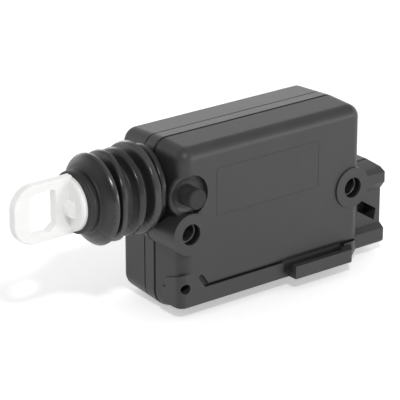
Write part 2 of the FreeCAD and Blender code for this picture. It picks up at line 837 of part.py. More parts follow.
def rack_slider():
    top = slider_bottom + slider_height
    below = slider_bottom - 1.0
    frame = box(slider_left, slider_right, slider_front, slider_back, slider_bottom, top)
    slot = box(slot_left, slot_right, rack_line - pinion_module, slider_slot_back, below, top + 1.0)
    frame = frame.cut(slot)
    pitch = math.pi * pinion_module
    addendum = pinion_module * (1.0 - pinion_shift)
    root = pinion_module * (1.0 + pinion_shift) + 0.25
    lean = math.tan(pressure_angle)
    half = (pinion_module * (math.pi / 2.0 - 2.0 * pinion_shift * lean) - rack_backlash) / 2.0
    relief = box(slot_left, slot_right, rack_line - root, rack_line, below, top + 1.0)
    frame = frame.cut(relief)
    count = int((slot_right - slot_left - 1.0) / pitch)
    first = gear_x + pitch / 2.0
    while first - pitch - half - root * lean > slot_left:
        first -= pitch
    for k in range(count):
        x = first + k * pitch
        if x + half + root * lean > slot_right:
            break
        tooth = [
            V(x - half - (root + 0.3) * lean, rack_line - root - 0.3, slider_bottom),
            V(x + half + (root + 0.3) * lean, rack_line - root - 0.3, slider_bottom),
            V(x + half - addendum * lean, rack_line + addendum, slider_bottom),
            V(x - half + addendum * lean, rack_line + addendum, slider_bottom),
        ]
        frame = frame.fuse(prism(tooth, V(0, 0, slider_height)))
    frame = frame.cut(along_x(stud_r + seat_fit, slider_left - 1.0, slot_left + 0.01, rod_y, rod_z))
    return frame.removeSplitter()


def compound_gear():
    wheel_top = wheel_bottom + wheel_thick
    wheel = gear(wheel_module, wheel_teeth, -drive_shift, gear_backlash,
                 wheel_bottom, wheel_top, gear_x, gear_y, 0.0)
    pinion = gear(pinion_module, pinion_teeth, pinion_shift, 0.0,
                  wheel_top, pinion_top, gear_x, gear_y, -math.pi / 2.0)
    recess_top = wheel_bottom + wheel_recess
    recess = along_z(wheel_recess_r, wheel_bottom - 1.0, recess_top, gear_x, gear_y)
    hub = along_z(axle_r + 1.2, wheel_bottom - 0.3, recess_top + 0.5, gear_x, gear_y)
    top_hub = along_z(axle_r + 1.2, pinion_top - 0.5, pinion_top + hub_gap - 0.2, gear_x, gear_y)
    bore = along_z(axle_r + axle_fit, wheel_bottom - 2.0, pinion_top + 2.0, gear_x, gear_y)
    return wheel.cut(recess).fuse([pinion, hub, top_hub]).cut(bore)


def gear_axle():
    low = wheel_bottom - gear_gap - shelf_thick
    return along_z(axle_r, low, pinion_top + hub_gap + shelf_thick, gear_x, gear_y)


def motor_form(r, flat, z0, z1):
    """A round form with flats at its front and back."""
    keep = box(motor_x - 2.0 * r, motor_x + 2.0 * r, gear_y - flat, gear_y + flat, z0, z1)
    return along_z(r, z0, z1, motor_x, gear_y).common(keep)


def motor_can():
    can = motor_form(motor_r, motor_flat, can_bottom, can_top)
    inner_r = motor_r - motor_skin
    can = can.cut(motor_form(inner_r, motor_flat - motor_skin, can_bottom - 1.0, can_top - motor_skin))
    can = can.fuse(along_z(nose_r, can_top - 0.1, can_top + nose_height, motor_x, gear_y))
    return can.cut(along_z(shaft_r + 0.06, can_top - 2.0, can_top + nose_height + 1.0, motor_x, gear_y))


def motor_end_cap():
    cap = motor_form(motor_r, motor_flat, motor_z, can_bottom)
    plug = motor_form(motor_r - motor_skin, motor_flat - motor_skin, can_bottom, can_bottom + 1.0)
    cap = cap.fuse(plug)
    cap = cap.cut(along_z(6.0, motor_z + 1.2, can_bottom + 2.0, motor_x, gear_y))
    cap = cap.fuse(along_z(2.6, motor_z + 0.4, motor_z + 2.4, motor_x, gear_y))
    return cap.cut(along_z(shaft_r + 0.06, motor_z + 0.6, motor_z + 5.0, motor_x, gear_y))


def motor_magnets():
    outer_r = motor_r - motor_skin - 0.02
    low = can_bottom + 4.5
    high = can_top - motor_skin - 1.5
    ring = along_z(outer_r, low, high, motor_x, gear_y)
    ring = ring.cut(along_z(outer_r - magnet_thick, low, high, motor_x, gear_y))
    pair = []
    for side in (-1, 1):
        near = motor_x + side * magnet_inset
        far = motor_x + side * motor_r
        x0, x1 = sorted((near, far))
        keep = box(x0, x1, gear_y - magnet_half, gear_y + magnet_half, low, high)
        pair.append(ring.common(keep))
    return Part.Compound([s for p in pair for s in p.Solids])


def motor_shaft():
    top = slider_bottom - shaft_under
    return along_z(shaft_r, motor_z + 0.8, top, motor_x, gear_y)


def armature():
    low = can_bottom + rotor_low
    high = low + rotor_length
    core = along_z(2.6, low, high, motor_x, gear_y)
    head = along_z(rotor_r, low, high, motor_x, gear_y)
    head = head.cut(along_z(rotor_r - 1.3, low, high, motor_x, gear_y))
    poles = core
    for k in range(3):
        arm = box(motor_x, motor_x + rotor_r - 0.6, gear_y - 0.9, gear_y + 0.9, low, high)
        gap = box(motor_x, motor_x + 20.0, gear_y - 0.8, gear_y + 0.8, low - 1.0, high + 1.0)
        arm.rotate(V(motor_x, gear_y, 0), V(0, 0, 1), 120.0 * k)
        gap.rotate(V(motor_x, gear_y, 0), V(0, 0, 1), 120.0 * k + 60.0)
        head = head.cut(gap)
        poles = poles.fuse(arm)
    stack = poles.fuse(head)
    return stack.cut(along_z(shaft_r + seat_fit, low - 1.0, high + 1.0, motor_x, gear_y))


def armature_windings():
    low = can_bottom + rotor_low
    high = low + rotor_length
    coils = []
    for k in range(3):
        out = motor_x + coil_out
        outer = box(motor_x + 2.9, out, gear_y - coil_half, gear_y + coil_half, low - 1.2, high + 1.2)
        inner = box(motor_x + 2.0, motor_x + rotor_r, gear_y - 0.95, gear_y + 0.95, low - 0.05, high + 0.05)
        coil = outer.cut(inner)
        coil.rotate(V(motor_x, gear_y, 0), V(0, 0, 1), 120.0 * k)
        coils.append(coil)
    return Part.Compound(coils)


def commutator():
    low = can_bottom + 0.4
    drum = along_z(commutator_r, low, low + commutator_length, motor_x, gear_y)
    drum = drum.cut(along_z(shaft_r + seat_fit, low - 1.0, low + 5.0, motor_x, gear_y))
    for k in range(3):
        inner = motor_x + commutator_r - 0.5
        slit = box(inner, motor_x + 5.0, gear_y - 0.2, gear_y + 0.2, low - 1.0, low + 5.0)
        slit.rotate(V(motor_x, gear_y, 0), V(0, 0, 1), 120.0 * k + 60.0)
        drum = drum.cut(slit)
    return drum


def motor_brushes():
    low = can_bottom + brush_low
    pair = []
    for side in (-1, 1):
        near = motor_x + side * (commutator_r + 0.05)
        far = motor_x + side * brush_out
        x0, x1 = sorted((near, far))
        pair.append(box(x0, x1, gear_y - brush_half, gear_y + brush_half, low, low + brush_height))
    return Part.Compound(pair)


def motor_pinion():
    top = slider_bottom - shaft_under
    first = math.pi + math.pi / drive_teeth
    blank = gear(wheel_module, drive_teeth, drive_shift, gear_backlash,
                 top - drive_gear_thick, top, motor_x, gear_y, first)
    return blank.cut(along_z(shaft_r + seat_fit, top - 10.0, top + 1.0, motor_x, gear_y))


def blade_z(k):
    return blade_first_z + k * blade_pitch


def terminal(k):
    """A flat blade in the socket whose tail turns back to the contact board."""
    low = blade_z(k) - blade_width / 2.0
    high = blade_z(k) + blade_width / 2.0
    blade = box(tail_x, blade_tip_x, blade_y - blade_thick / 2.0, blade_y + blade_thick / 2.0, low, high)
    tip = [e for e in blade.Edges if e.BoundBox.XMin > blade_tip_x - 0.01 and e.BoundBox.ZLength > 1.0]
    blade = blade.makeChamfer(0.25, tip)
    back = board_back + board_gap / 2.0
    front = blade_y - blade_thick / 2.0
    tail = box(tail_x, tail_x + blade_thick, front, back, blade_z(k) - tail_half, blade_z(k) + tail_half)
    return blade.fuse(tail)


def terminal_block():
    """The insulator that holds the blades in the housing's wall."""
    low = blade_foot + 0.1
    high = blade_foot + blade_pitch * blade_count - 0.1
    wall_x = body_length - wall
    start = wall_x - block_thick
    neck = box(start, socket_floor_x + neck_reach, blade_y - neck_half, blade_y + neck_half, low, high)
    flange_high = bore_z - boss_r - 0.3
    flange = box(start, wall_x, blade_y - block_half, blade_y + block_half, low - 0.2, flange_high)
    return neck.fuse(flange).cut([terminal(k) for k in range(blade_count)])


def contact_board():
    right = body_length - wall - 1.0
    top = rod_z + 5.6
    low = motor_z + 1.6
    arm = slider_bottom + 0.2
    points = [
        (board_left, arm),
        (board_leg, arm),
        (board_leg, low + 5.4),
        (motor_x - 8.4, low + 5.4),
        (motor_x - 8.4, low),
        (right, low),
        (right, top),
        (board_left, top),
    ]
    board = prism([V(x, board_front, z) for x, z in points], V(0, board_thick, 0))
    boss_room = along_y(inner_boss_r + 0.4, board_front - 1.0, board_back + 1.0, right_bore_x, bore_z)
    board = board.cut(boss_room)
    return board.cut([terminal(k) for k in range(blade_count)] + motor_tabs().Solids)


def motor_tabs():
    """Two tabs from the end cap's side to the contact board."""
    pair = []
    start = gear_y + motor_flat
    for side in (-1, 1):
        x = motor_x + side * tab_at
        low = motor_z + 1.9
        end = board_back + board_gap / 2.0
        pair.append(box(x - tab_half, x + tab_half, start, end, low, low + tab_thick))
    return Part.Compound(pair)


def contact_tracks():
    strips = []
    start = board_front - track_thick
    last = slider_left + wiper_start + wiper_reach + track_half
    first = last - travel - wiper_reach * 0.5
    for z, cut in ((rod_z - track_low, 0.0), (rod_z + track_high, travel * 0.5)):
        strips.append(box(first, last - cut, start, board_front, z - track_half, z + track_half))
    return strips


def wiper():
    """A forked contact spring on the slider's rear bar."""
    x0 = slider_left + wiper_start
    foot_x = x0 + wiper_pad
    bend_x = x0 + wiper_bend
    tip_x = x0 + wiper_reach
    low = rod_z - track_low - finger_half
    high = rod_z + track_high + finger_half
    pad = box(x0, foot_x, slider_back, slider_back + wiper_thick, low, high)
    reach = board_front - track_thick - 0.05
    fingers = []
    for middle in (rod_z - track_low, rod_z + track_high):
        z = middle - finger_half
        line = [
            V(foot_x - 0.5, slider_back, z),
            V(bend_x, reach - wiper_thick, z),
            V(tip_x, reach - wiper_thick - 0.4, z),
            V(tip_x, reach - 0.4, z),
            V(bend_x, reach, z),
            V(foot_x - 0.5, slider_back + wiper_thick, z),
        ]
        fingers.append(prism(line, V(0, 0, 2.0 * finger_half)))
    return pad.fuse(fingers)


def export(name, shape):
    shape = shape.copy()
    shape.translate(V(-bore_x, -mount_face, -bore_z))
    shape.exportStep("parts/%s.step" % name)
    print("%-20s solids %d valid %s volume %.1f" % (name, len(shape.Solids), shape.isValid(), shape.Volume))


export("front_housing", front_housing())
export("rear_cover", rear_cover())
export("housing_seal", seal_ring(0.05))
export("mount_bush_left", mount_bush(bore_x))
export("mount_bush_right", mount_bush(right_bore_x))
export("plunger_guide", plunger_guide())
export("boot", boot())
export("plunger_eye", plunger_eye())
export("rack_slider", rack_slider())
export("wiper", wiper())
export("front_buffer", front_buffer())
export("rear_buffer", rear_buffer())
export("compound_gear", compound_gear())
export("gear_axle", gear_axle())
export("motor_can", motor_can())
export("motor_end_cap", motor_end_cap())
export("motor_magnets", motor_magnets())
export("motor_brushes", motor_brushes())
export("motor_tabs", motor_tabs())
export("motor_shaft", motor_shaft())
export("armature", armature())
export("armature_windings", armature_windings())
export("commutator", commutator())
export("motor_pinion", motor_pinion())
export("terminal_block", terminal_block())
for number in range(blade_count):
    export("terminal_%d" % (number + 1), terminal(number))
export("contact_board", contact_board())
export("contact_tracks", Part.Compound(contact_tracks()))
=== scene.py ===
import math

import bmesh
import bpy
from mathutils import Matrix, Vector


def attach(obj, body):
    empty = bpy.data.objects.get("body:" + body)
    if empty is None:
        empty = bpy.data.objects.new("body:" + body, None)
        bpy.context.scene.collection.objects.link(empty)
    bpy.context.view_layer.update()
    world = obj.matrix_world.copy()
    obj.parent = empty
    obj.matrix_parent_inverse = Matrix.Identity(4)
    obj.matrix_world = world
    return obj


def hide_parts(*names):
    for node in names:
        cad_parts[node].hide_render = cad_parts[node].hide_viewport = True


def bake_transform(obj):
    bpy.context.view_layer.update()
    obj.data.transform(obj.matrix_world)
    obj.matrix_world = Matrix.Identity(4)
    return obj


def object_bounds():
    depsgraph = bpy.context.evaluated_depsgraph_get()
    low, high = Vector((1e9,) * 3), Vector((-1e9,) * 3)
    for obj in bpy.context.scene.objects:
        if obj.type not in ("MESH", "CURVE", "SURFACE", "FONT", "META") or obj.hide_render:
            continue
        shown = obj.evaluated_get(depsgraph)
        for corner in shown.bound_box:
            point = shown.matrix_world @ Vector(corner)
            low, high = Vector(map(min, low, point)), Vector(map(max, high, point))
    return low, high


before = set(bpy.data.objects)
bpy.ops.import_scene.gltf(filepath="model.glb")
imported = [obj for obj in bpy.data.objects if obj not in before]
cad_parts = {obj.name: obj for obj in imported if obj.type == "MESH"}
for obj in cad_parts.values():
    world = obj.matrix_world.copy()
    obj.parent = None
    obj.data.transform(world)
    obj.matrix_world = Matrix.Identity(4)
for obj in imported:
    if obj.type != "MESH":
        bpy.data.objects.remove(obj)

# The drawing's millimetres, as in the CAD: X from the housing's left wall, Y from the
# seam between its halves, and Z up from a base line just under the front strip
DATUM = Vector((3.4, 15.9, 22.6))
MM = 0.001
BORE_SPACING = 60.0
ROD_Y, ROD_Z = 2.2, 34.8
FRONT = 12.3
RIM = 4.75
PEG_X, PEG_Z = 3.5, 34.0
GROOVE_Z, GROOVE_START, GROOVE_END = 6.1, 8.8, 65.5
HOOK_X, HOOK_Z = 8.2, 7.2
PANEL_X, PANEL_Z = 31.65, 32.9
cad_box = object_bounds()


def at(x, y, z):
    """A point of the drawing in the frame's metres."""
    return (Vector((x, y, z)) - DATUM) * MM


# Values and nodes of a material

class Signal:
    """A value inside a material: arithmetic on it adds the maths nodes."""

    def __init__(self, bench, socket):
        self.bench = bench
        self.socket = socket

    def _maths(self, operation, first, second):
        return self.bench.add("Math", {"operation": operation}, {0: first, 1: second})

    def __add__(self, other):
        return self._maths("ADD", self, other)

    def __radd__(self, other):
        return self._maths("ADD", other, self)

    def __sub__(self, other):
        return self._maths("SUBTRACT", self, other)

    def __rsub__(self, other):
        return self._maths("SUBTRACT", other, self)

    def __mul__(self, other):
        return self._maths("MULTIPLY", self, other)

    def __rmul__(self, other):
        return self._maths("MULTIPLY", other, self)

    def __truediv__(self, other):
        return self._maths("DIVIDE", self, other)

    def __pow__(self, other):
        return self._maths("POWER", self, other)

    def __abs__(self):
        return self.bench.add("Math", {"operation": "ABSOLUTE"}, {0: self})

    def above(self, other):
        return self._maths("MAXIMUM", self, other)


class Wiring:
    """A node tree, and the one way that nodes are put into it."""

    def __init__(self, tree):
        self.tree = tree
        tree.nodes.clear()

    def add(self, kind, settings=None, values=None, output=0):
        """A node of a kind, its settings first, then its sockets' values or links."""
        node = self.tree.nodes.new(kind if "Node" in kind else "ShaderNode" + kind)
        for key, value in (settings or {}).items():
            if key == "stops":
                self._stops(node.color_ramp, value)
            else:
                setattr(node, key, value)
        for key, value in (values or {}).items():
            self.feed(node.inputs[key], value)
        return Signal(self, node.outputs[output])

    def _stops(self, ramp, stops):
        while len(ramp.elements) < len(stops):
            ramp.elements.new(0.5)
        for element, (position, colour) in zip(ramp.elements, stops):
            element.position = position
            element.color = (*colour, 1.0)

    def feed(self, socket, value):
        """Links a signal to a socket, or sets the socket's own value."""
        if isinstance(value, Signal):
            self.tree.links.new(value.socket, socket)
        elif hasattr(value, "__len__") and len(value) == 3 and socket.type == "RGBA":
            socket.default_value = (*value, 1.0)
        else:
            socket.default_value = value

    def blend(self, amount, first, second):
        """A colour that runs from first to second while amount runs from 0 to 1."""
        sockets = {0: amount, 6: first, 7: second}
        return self.add("Mix", {"data_type": "RGBA"}, sockets, 2)

    def ramp(self, amount, low, high, start=0.0, end=1.0):
        """Runs from start to end while amount runs from low to high."""
        return self.add("MapRange", {}, {"Value": amount, 1: low, 2: high, 3: start, 4: end})


class Bench(Wiring):
    """One material on the bench, with its surface shader."""

    def __init__(self, name):
        self.material = bpy.data.materials.new(name)
        self.material.use_nodes = True
        super().__init__(self.material.node_tree)
        self.surface = self.tree.nodes.new("ShaderNodeBsdfPrincipled")
        out = self.tree.nodes.new("ShaderNodeOutputMaterial")
        self.tree.links.new(self.surface.outputs[0], out.inputs["Surface"])
        self.place = self.add("TexCoord", output="Object")

    def set(self, **values):
        for key, value in values.items():
            self.feed(self.surface.inputs[key.replace("_", " ")], value)
        return self

    def noise(self, scale, detail=4.0, roughness=0.55, vector=None, warp=0.0):
        sockets = {"Vector": vector or self.place, "Scale": scale, "Detail": detail,
                   "Roughness": roughness, "Distortion": warp}
        return self.add("TexNoise", {}, sockets, "Fac")

    def stretched(self, scale, turn=(0.0, 0.0, 0.0)):
        return self.add("Mapping", {}, {"Vector": self.place, "Scale": scale, "Rotation": turn})

    def shade_over(self, amount, tone):
        """Mixes a dull, near-black diffuse tone over the surface where amount says: painted shade."""
        out = self.surface.outputs[0].links[0].to_socket
        painted_shade_bsdf = self.tree.nodes.new("ShaderNodeBsdfDiffuse")
        self.feed(painted_shade_bsdf.inputs["Color"], tone)
        sockets = {0: amount, 1: Signal(self, self.surface.outputs[0]), 2: Signal(self, painted_shade_bsdf.outputs[0])}
        self.tree.links.new(self.add("MixShader", {}, sockets).socket, out)

    def relief(self, height, distance, strength=1.0):
        return self.add("Bump", {}, {"Height": height, "Distance": distance, "Strength": strength})

    def part(self, axis):
        return self.add("SeparateXYZ", {}, {0: self.place}, "XYZ"[axis])

    def off_axis(self, y, z):
        """Distance from the line along X through the drawing's y and z, in metres."""
        centre = at(0.0, y, z)
        across = self.part(1) - centre.y
        up = self.part(2) - centre.z
        return (across * across + up * up) ** 0.5


class Pattern(Wiring):
    """A Geometry Nodes tree with named sizes; it runs once and leaves a plain mesh."""

    def __init__(self, name, **sizes):
        super().__init__(bpy.data.node_groups.new(name, "GeometryNodeTree"))
        self.name = name
        self.values = {}
        face = self.tree.interface
        face.new_socket("Seed", in_out="INPUT", socket_type="NodeSocketGeometry")
        for label, value in sizes.items():
            kind = "NodeSocketInt" if isinstance(value, int) else "NodeSocketFloat"
            socket = face.new_socket(label.replace("_", " "), in_out="INPUT", socket_type=kind)
            self.values[socket.identifier] = value
        face.new_socket("Shape", in_out="OUTPUT", socket_type="NodeSocketGeometry")
        self.inlet = self.tree.nodes.new("NodeGroupInput")

    def size(self, label):
        return Signal(self, self.inlet.outputs[label])

    def run(self, seed, shape, material):
        """The tree's shape, grown on a seed mesh, as a plain mesh of its own."""
        real = self.add("GeometryNodeRealizeInstances", {}, {0: shape})
        coated = self.add("GeometryNodeSetMaterial", {}, {0: real, "Material": material})
        out = self.tree.nodes.new("NodeGroupOutput")
        self.feed(out.inputs[0], coated)
        holder = bpy.data.objects.new(self.name + "_holder", seed)
        bpy.context.scene.collection.objects.link(holder)
        modifier = holder.modifiers.new(self.name, "NODES")
        modifier.node_group = self.tree
        for identifier, value in self.values.items():
            modifier[identifier] = value
        grown = holder.evaluated_get(bpy.context.evaluated_depsgraph_get())
        mesh = bpy.data.meshes.new_from_object(grown)
        holder.modifiers.remove(modifier)
        bpy.data.objects.remove(holder)
        return mesh


def moulded_grey(name, tone, gloss=0.42, grain=1.0, painted_shade=None, worn=None):
    """Dark moulded plastic: fine spark grain, slow cloudy tone and faint rub marks.

    The first mask function marks where painted shade goes, in the hollows and joints; worn masks the
    rubbed-off places.
    """
    bench = Bench(name)
    cloud = bench.noise(55.0, 3.0)
    fleck = bench.noise(2600.0, 2.0, 0.6)
    rub = bench.noise(1.0, 5.0, 0.7, bench.stretched((420.0, 60.0, 90.0), (0.3, 0.7, 0.2)), 0.6)
    rubbed = bench.ramp(rub, 0.60, 0.78)
    darker = tuple(0.90 * v for v in tone)
    lighter = tuple(1.10 * v for v in tone)
    colour = bench.blend(bench.ramp(cloud, 0.35, 0.65), darker, lighter)
    colour = bench.blend(bench.ramp(fleck, 0.62, 0.80, 0.0, 0.35), colour, tuple(1.5 * v for v in tone))
    colour = bench.blend(rubbed * 0.16, colour, tuple(min(1.0, 2.2 * v) for v in tone))
    height = fleck * 0.6 + bench.noise(900.0, 3.0) * 0.8
    rough = gloss + fleck * 0.10 - rubbed * 0.05 + cloud * 0.05
    if worn:
        scuffed = worn(bench)
        chips = bench.noise(1300.0, 4.0, 0.7)
        colour = bench.blend(scuffed * 0.8, colour, tuple(0.35 * v for v in tone))
        chipped = scuffed * bench.ramp(chips, 0.55, 0.7, 0.0, 0.5)
        colour = bench.blend(chipped, colour, tuple(2.0 * v for v in tone))
        rough = rough + scuffed * 0.22
        height = height + scuffed * chips * 9.0
    bench.set(Base_Color=colour, Roughness=rough, Normal=bench.relief(height, 0.000022 * grain, 0.55))
    # Painted shade: a near-black tone mixed over the hollows and joints that the mask marks.
    if painted_shade:
        bench.shade_over(painted_shade(bench), (0.004, 0.004, 0.004))
    return bench.material


# Painted shade along the seam and along the rear half's rim line: (y, half width, strength)
SEAM_SHADE = (0.0, 0.6, 0.7)
RIM_SHADE = (RIM, 0.3, 0.3)


def joint_shade(*lines):
    """A mask of painted shade in lines along Y: (y, half width, strength) in the drawing's millimetres."""
    def mask(bench):
        total = None
        for y, half, strength in lines:
            away = abs(bench.part(1) - at(0.0, y, 0.0).y)
            line = bench.ramp(away, half * MM, 0.55 * half * MM, 0.0, strength)
            total = line if total is None else total.above(line)
        return total
    return mask


def distance(bench, first, second, point):
    """How far the surface lies from a point, across two axes (0, 1, 2)."""
    one = bench.part(first) - point[first]
    two = bench.part(second) - point[second]
    return (one * one + two * two) ** 0.5


def front_hollow_shade(bench):
    """A mask of painted shade: the seam edge, the groove, its hook and the two bores, darkened where little
    light falls.
    """
    deep = bench.ramp(bench.part(1), at(0.0, -FRONT, 0.0).y, at(0.0, 0.6 - FRONT, 0.0).y)
    up = abs(bench.part(2) - at(0.0, 0.0, GROOVE_Z).z)
    run = bench.ramp(bench.part(0), at(GROOVE_START - 0.8, 0.0, 0.0).x, at(GROOVE_START, 0.0, 0.0).x)
    run = run * bench.ramp(bench.part(0), at(GROOVE_END + 1.0, 0.0, 0.0).x, at(GROOVE_END, 0.0, 0.0).x)
    groove = bench.ramp(up, 0.0013, 0.0010) * run * 0.3
    hook = bench.ramp(distance(bench, 0, 2, at(HOOK_X, 0.0, HOOK_Z)), 0.0026, 0.0020) * 0.4
    total = groove.above(hook)
    for bore_x in (DATUM.x, DATUM.x + BORE_SPACING):
        bore = bench.ramp(distance(bench, 0, 2, at(bore_x, 0.0, DATUM.z)), 0.0036, 0.0033)
        total = total.above(bore * 0.75)
    return (deep * total).above(joint_shade(SEAM_SHADE)(bench))


def peg_end(bench):
    """A mask of the locating peg's rubbed end."""
    near = bench.ramp(distance(bench, 0, 2, at(PEG_X, 0.0, PEG_Z)), 0.0036, 0.0031)
    return near * bench.ramp(bench.part(1), at(0.0, -13.2, 0.0).y, at(0.0, -14.4, 0.0).y)


def bellows_rubber():
    """Soft black rubber: dusty, rougher valleys, with painted highlights: lighter crests and paler crest
    edges.
    """
    bench = Bench("bellows_rubber")
    radius = bench.off_axis(ROD_Y, ROD_Z)
    crest_highlight = bench.ramp(radius, 0.0112, 0.0122)
    valley = bench.ramp(radius, 0.0113, 0.0099)
    dust = bench.noise(700.0, 4.0, 0.65)
    cloud = bench.noise(120.0, 3.0)
    colour = bench.blend(bench.ramp(cloud, 0.35, 0.7), (0.010, 0.010, 0.010), (0.015, 0.015, 0.015))
    # Painted highlight: the crests are painted lighter, and their edges paler still, broken up by the dust
    # noise.
    colour = bench.blend(crest_highlight * 0.45, colour, (0.018, 0.018, 0.018))
    edge = bench.ramp(radius, 0.0123, 0.0127)
    colour = bench.blend(edge * (0.5 + dust * 0.5), colour, (0.052, 0.052, 0.052))
    bench.set(Base_Color=colour, Roughness=0.28 + dust * 0.12 + valley * 0.20 - crest_highlight * 0.06 - edge * 0.04,
              Normal=bench.relief(dust * 0.7 + bench.noise(2400.0, 2.0) * 0.4, 0.000012, 0.5))
    return bench.material


def white_nylon(name, tone, gloss=0.34):
    """Milky nylon: faint flow lines, a soft grain and slightly deeper tone in places."""
    bench = Bench(name)
    flow = bench.noise(1.0, 4.0, 0.6, bench.stretched((35.0, 160.0, 140.0)), 0.8)
    grain = bench.noise(1900.0, 2.0)
    colour = bench.blend(bench.ramp(flow, 0.35, 0.7), tone, tuple(0.94 * v for v in tone))
    bench.set(Base_Color=colour, Roughness=gloss + grain * 0.08 + flow * 0.05,
              Normal=bench.relief(grain * 0.5 + flow * 0.6, 0.000018, 0.5))
    bench.surface.inputs["Subsurface Weight"].default_value = 0.12
    bench.surface.inputs["Subsurface Radius"].default_value = (0.0015, 0.0014, 0.0012)
    bench.surface.inputs["Subsurface Scale"].default_value = 1.0
    return bench.material


def metal(name, tone, gloss, stretch, tarnish, mottle=420.0):
    """Metal with drawn or turned lines and patches of tarnish."""
    bench = Bench(name)
    lines = bench.noise(1.0, 4.0, 0.65, bench.stretched(stretch))
    patch = bench.ramp(bench.noise(mottle, 4.0, 0.6), 0.48, 0.72)
    colour = bench.blend(bench.ramp(lines, 0.3, 0.7), tuple(0.86 * v for v in tone), tone)
    colour = bench.blend(patch * 0.45, colour, tarnish)
    bench.set(Base_Color=colour, Roughness=gloss + lines * 0.12 + patch * 0.14, Metallic=1.0 - patch * 0.15,
              Normal=bench.relief(lines, 0.000012, 0.6))
    return bench.material


def laminate():
    """Brown contact board: woven fibres under resin."""
    bench = Bench("board_laminate")
    threads = {"Vector": bench.place, "Scale": 420.0, "Distortion": 1.5}
    along, across = (bench.add("TexWave", {"bands_direction": way}, threads, "Fac") for way in "XZ")
    cloth = along * 0.5 + across * 0.5
    colour = bench.blend(cloth, (0.24, 0.15, 0.07), (0.38, 0.26, 0.13))
    bench.set(Base_Color=colour, Roughness=0.38 + cloth * 0.1, Normal=bench.relief(cloth, 0.00001, 0.4))
    return bench.material


def dull(name, tone, gloss=0.7, speck=1500.0):
    """A plain matte solid with a speckled, slightly rough skin: rubber, carbon, ferrite."""
    bench = Bench(name)
    grit = bench.noise(speck, 3.0, 0.6)
    cloud = bench.noise(160.0, 3.0)
    colour = bench.blend(bench.ramp(grit, 0.4, 0.7), tone, tuple(1.35 * v for v in tone))
    colour = bench.blend(cloud * 0.3, colour, tuple(0.7 * v for v in tone))
    bench.set(Base_Color=colour, Roughness=gloss + grit * 0.1, Normal=bench.relief(grit, 0.00002, 0.5))
    return bench.material


# The housing and the cover get painted shade in their hollows, seam and rim line.
HOUSING = moulded_grey("housing_plastic", (0.029, 0.029, 0.030), painted_shade=front_hollow_shade, worn=peg_end)
REAR = moulded_grey("cover_plastic", (0.028, 0.028, 0.029), 0.38, painted_shade=joint_shade(SEAM_SHADE, RIM_SHADE))
GUIDE = moulded_grey("guide_plastic", (0.03, 0.03, 0.031), 0.36, 0.6)
CAP = moulded_grey("terminal_block_plastic", (0.03, 0.03, 0.032), 0.45, 0.7)
BOOT = bellows_rubber()
NYLON = white_nylon("white_nylon", (0.91, 0.91, 0.90))
GEAR = white_nylon("gear_nylon", (0.74, 0.70, 0.60), 0.4)
BUSH = metal("bush_steel", (0.24, 0.24, 0.25), 0.38, (500.0, 40.0, 500.0), (0.09, 0.085, 0.08))
AXLE = metal("ground_steel", (0.60, 0.60, 0.62), 0.20, (60.0, 60.0, 900.0), (0.35, 0.34, 0.33))
CAN = metal("plated_can", (0.52, 0.52, 0.54), 0.32, (300.0, 300.0, 30.0), (0.30, 0.30, 0.31))
CORE = metal("stacked_sheet", (0.34, 0.34, 0.36), 0.42, (20.0, 20.0, 2600.0), (0.16, 0.13, 0.11))
COPPER = metal("copper", (0.72, 0.34, 0.18), 0.26, (200.0, 200.0, 500.0), (0.34, 0.16, 0.08))
BRASS = metal("contact_brass", (0.72, 0.55, 0.26), 0.28, (500.0, 60.0, 500.0), (0.40, 0.28, 0.12))
TIN = metal("tinned_blade", (0.70, 0.70, 0.68), 0.30, (40.0, 500.0, 500.0), (0.45, 0.44, 0.42))
BOARD = laminate()
SEAL = dull("seal_rubber", (0.018, 0.018, 0.018), 0.75)
FERRITE = dull("ferrite", (0.05, 0.048, 0.05), 0.55, 2600.0)
CARBON = dull("brush_carbon", (0.02, 0.02, 0.021), 0.5, 2200.0)


# Pieces made from the CAD's own solids

def merged_mesh(node, flat=math.radians(0.4)):
    """A closed copy of a CAD solid, its flat faces joined and its corners kept."""
    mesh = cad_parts[node].data.copy()
    shape = bmesh.new()
    shape.from_mesh(mesh)
    bmesh.ops.remove_doubles(shape, verts=shape.verts, dist=0.4e-6)
    if flat:
        bmesh.ops.dissolve_limit(shape, angle_limit=flat, verts=shape.verts, edges=shape.edges)
    for face in shape.faces:
        face.smooth = True
    for edge in shape.edges:
        edge.smooth = len(edge.link_faces) == 2 and edge.calc_face_angle(0.0) < math.radians(28.0)
    shape.to_mesh(mesh)
    shape.free()
    mesh.materials.clear()
    return mesh


def dressed(name, node, material, body, round_off=0.0, segments=2):
    """A CAD solid's finished twin: rounded arrises, even shading and its material."""
    mesh = merged_mesh(node)
    mesh.materials.append(material)
    piece = bpy.data.objects.new(name, mesh)
    bpy.context.scene.collection.objects.link(piece)
    if round_off:
        bevel = piece.modifiers.new("arris", "BEVEL")
        bevel.width = round_off * MM
        bevel.segments = segments
        bevel.limit_method = "ANGLE"
        bevel.angle_limit = math.radians(40.0)
        bevel.use_clamp_overlap = True
        bevel.harden_normals = False
        bevel.miter_outer = "MITER_ARC"
    even = piece.modifiers.new("even_shading", "WEIGHTED_NORMAL")
    even.keep_sharp = True
    even.weight = 100
    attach(piece, body)
    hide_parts(node)
    return piece


def finished(name, shape, material, body, smooth=math.radians(35.0)):
    """A bmesh made into a piece that rides on a body."""
    bmesh.ops.recalc_face_normals(shape, faces=shape.faces)
    for face in shape.faces:
        face.smooth = True
    for edge in shape.edges:
        edge.smooth = len(edge.link_faces) == 2 and edge.calc_face_angle(0.0) < smooth
    mesh = bpy.data.meshes.new(name)
    shape.to_mesh(mesh)
    shape.free()
    mesh.materials.append(material)
    piece = bpy.data.objects.new(name, mesh)
    bpy.context.scene.collection.objects.link(piece)
    if body:
        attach(piece, body)
    return piece


